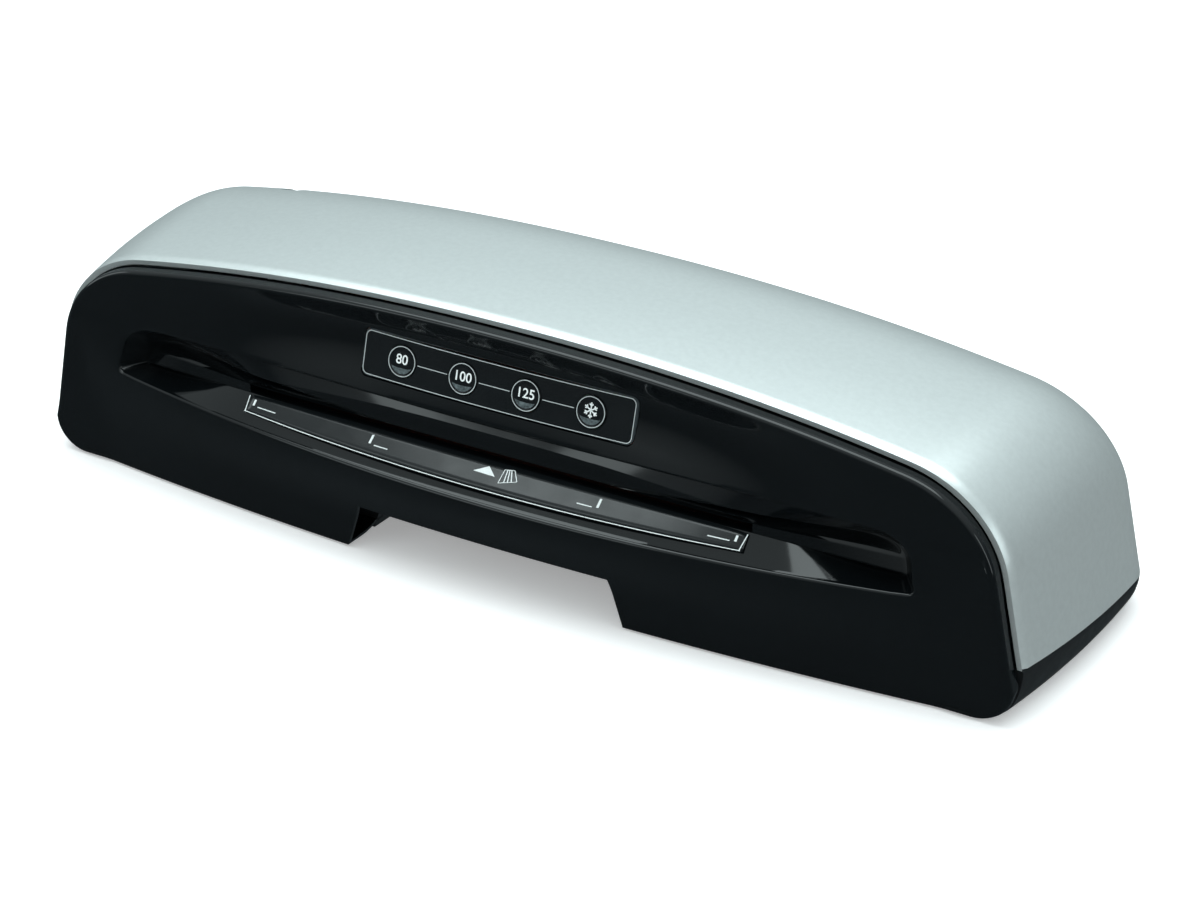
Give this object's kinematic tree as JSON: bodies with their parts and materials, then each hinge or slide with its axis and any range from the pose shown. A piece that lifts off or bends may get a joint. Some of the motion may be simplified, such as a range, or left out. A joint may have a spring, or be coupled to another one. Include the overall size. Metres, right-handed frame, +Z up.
{
  "type": "pouch laminator",
  "caption": "Desktop A4 pouch laminator: glossy front with a wide pouch entry and push buttons, arched satin cover, heated rollers inside.",
  "frame": {"origin": "middle of the machine's footprint, on the surface that its feet stand on", "axes": "+X along the rollers towards the machine's right end seen from the front, +Y from the pouch entry towards the exit, +Z up"},
  "size_m": [0.4512, 0.135, 0.1103],
  "materials": {
    "gloss_black": "high gloss moulded black",
    "silver": "satin silver lacquer",
    "satin_black": "fine moulded texture",
    "print_black": "smooth printed film",
    "rocker_black": "gloss black",
    "socket_black": "moulded black",
    "button_black": "gloss black",
    "rubber": "dull",
    "silicone": "matt silicone rubber",
    "steel": "bright plated",
    "aluminium": "drawn",
    "brass": "turned",
    "acetal": "natural acetal",
    "board_green": "solder-masked board",
    "mica": "mica sheet"
  },
  "bodies": {
    "chassis": {"base_tray": "satin_black", "control_board": "board_green", "control_panel": "print_black", "exit_lower_bush_left": "brass", "exit_lower_bush_right": "brass", "exit_upper_bush_left": "brass", "exit_upper_bush_right": "brass", "foot_front_left": "rubber", "foot_front_right": "rubber", "foot_rear_left": "rubber", "foot_rear_right": "rubber", "front_fascia": "gloss_black", "grip_recess": "satin_black", "idler_pin": "steel", "infeed_lower_bush_left": "brass", "infeed_lower_bush_right": "brass", "infeed_upper_bush_left": "brass", "infeed_upper_bush_right": "brass", "inlet_body": "socket_black", "inlet_pin_earth": "brass", "inlet_pin_live": "brass", "inlet_pin_neutral": "brass", "label_strip": "print_black", "lower_heat_plate": "aluminium", "lower_heating_element": "mica", "motor_can": "aluminium", "motor_gearbox": "steel", "power_board": "board_green", "rear_panel": "satin_black", "side_frame_left": "steel", "side_frame_right": "steel", "switch_body": "socket_black", "tie_bar": "steel", "top_cover": "silver", "upper_heat_plate": "aluminium", "upper_heating_element": "mica"},
    "idler": {"idler_gear": "acetal"},
    "motor_rotor": {"motor_pinion": "brass", "motor_shaft": "steel"},
    "release": {"release_lever": "silver", "release_shaft": "steel"},
    "power_rocker": {"power_rocker": "rocker_black"},
    "infeed_lower_roller": {"infeed_lower_sleeve": "silicone", "infeed_lower_shaft": "steel", "infeed_lower_gear": "acetal"},
    "infeed_upper_roller": {"infeed_upper_sleeve": "silicone", "infeed_upper_shaft": "steel", "infeed_upper_gear": "acetal"},
    "exit_lower_roller": {"exit_lower_sleeve": "silicone", "exit_lower_shaft": "steel", "exit_lower_gear": "acetal"},
    "exit_upper_roller": {"exit_upper_sleeve": "silicone", "exit_upper_shaft": "steel", "exit_upper_gear": "acetal"},
    "button_80": {"button_80": "button_black"},
    "button_100": {"button_100": "button_black"},
    "button_125": {"button_125": "button_black"},
    "button_cold": {"button_cold": "button_black"}
  },
  "joints": [
    {"name": "infeed_lower_spin", "type": "hinge", "parent": "chassis", "child": "infeed_lower_roller", "pos_m": [0, -0.024, 0.0444], "axis": [1, 0, 0], "continuous": true},
    {"name": "infeed_upper_spin", "type": "hinge", "parent": "chassis", "child": "infeed_upper_roller", "pos_m": [0, -0.024, 0.0668], "axis": [1, 0, 0], "continuous": true},
    {"name": "exit_lower_spin", "type": "hinge", "parent": "chassis", "child": "exit_lower_roller", "pos_m": [0, 0.034, 0.0444], "axis": [1, 0, 0], "continuous": true},
    {"name": "exit_upper_spin", "type": "hinge", "parent": "chassis", "child": "exit_upper_roller", "pos_m": [0, 0.034, 0.0668], "axis": [1, 0, 0], "continuous": true},
    {"name": "idler_spin", "type": "hinge", "parent": "chassis", "child": "idler", "pos_m": [0, 0.005, 0.03726], "axis": [1, 0, 0], "continuous": true},
    {"name": "motor_spin", "type": "hinge", "parent": "chassis", "child": "motor_rotor", "pos_m": [0, 0.02602, 0.02512], "axis": [1, 0, 0], "continuous": true},
    {"name": "release_turn", "type": "hinge", "parent": "chassis", "child": "release", "pos_m": [-0.152, 0.034, 0.078], "axis": [1, 0, 0], "range_deg": [0, 25]},
    {"name": "rocker_tilt", "type": "hinge", "parent": "chassis", "child": "power_rocker", "pos_m": [-0.141, 0.0632, 0.0295], "axis": [1, 0, 0], "range_deg": [0, 14]},
    {"name": "button_80_press", "type": "slide", "parent": "chassis", "child": "button_80", "axis": [0, 0.9588, -0.284], "range_m": [0, 0.001], "stiffness_N_per_m": 500},
    {"name": "button_100_press", "type": "slide", "parent": "chassis", "child": "button_100", "axis": [0, 0.9588, -0.284], "range_m": [0, 0.001], "stiffness_N_per_m": 500},
    {"name": "button_125_press", "type": "slide", "parent": "chassis", "child": "button_125", "axis": [0, 0.9588, -0.284], "range_m": [0, 0.001], "stiffness_N_per_m": 500},
    {"name": "button_cold_press", "type": "slide", "parent": "chassis", "child": "button_cold", "axis": [0, 0.9588, -0.284], "range_m": [0, 0.001], "stiffness_N_per_m": 500}
  ],
  "couplings": [
    {"joint": "infeed_lower_spin", "follows": "exit_lower_spin", "ratio": 1},
    {"joint": "exit_upper_spin", "follows": "exit_lower_spin", "ratio": -1},
    {"joint": "infeed_upper_spin", "follows": "exit_lower_spin", "ratio": -1},
    {"joint": "idler_spin", "follows": "exit_lower_spin", "ratio": -0.6},
    {"joint": "motor_spin", "follows": "exit_lower_spin", "ratio": 2}
  ]
}
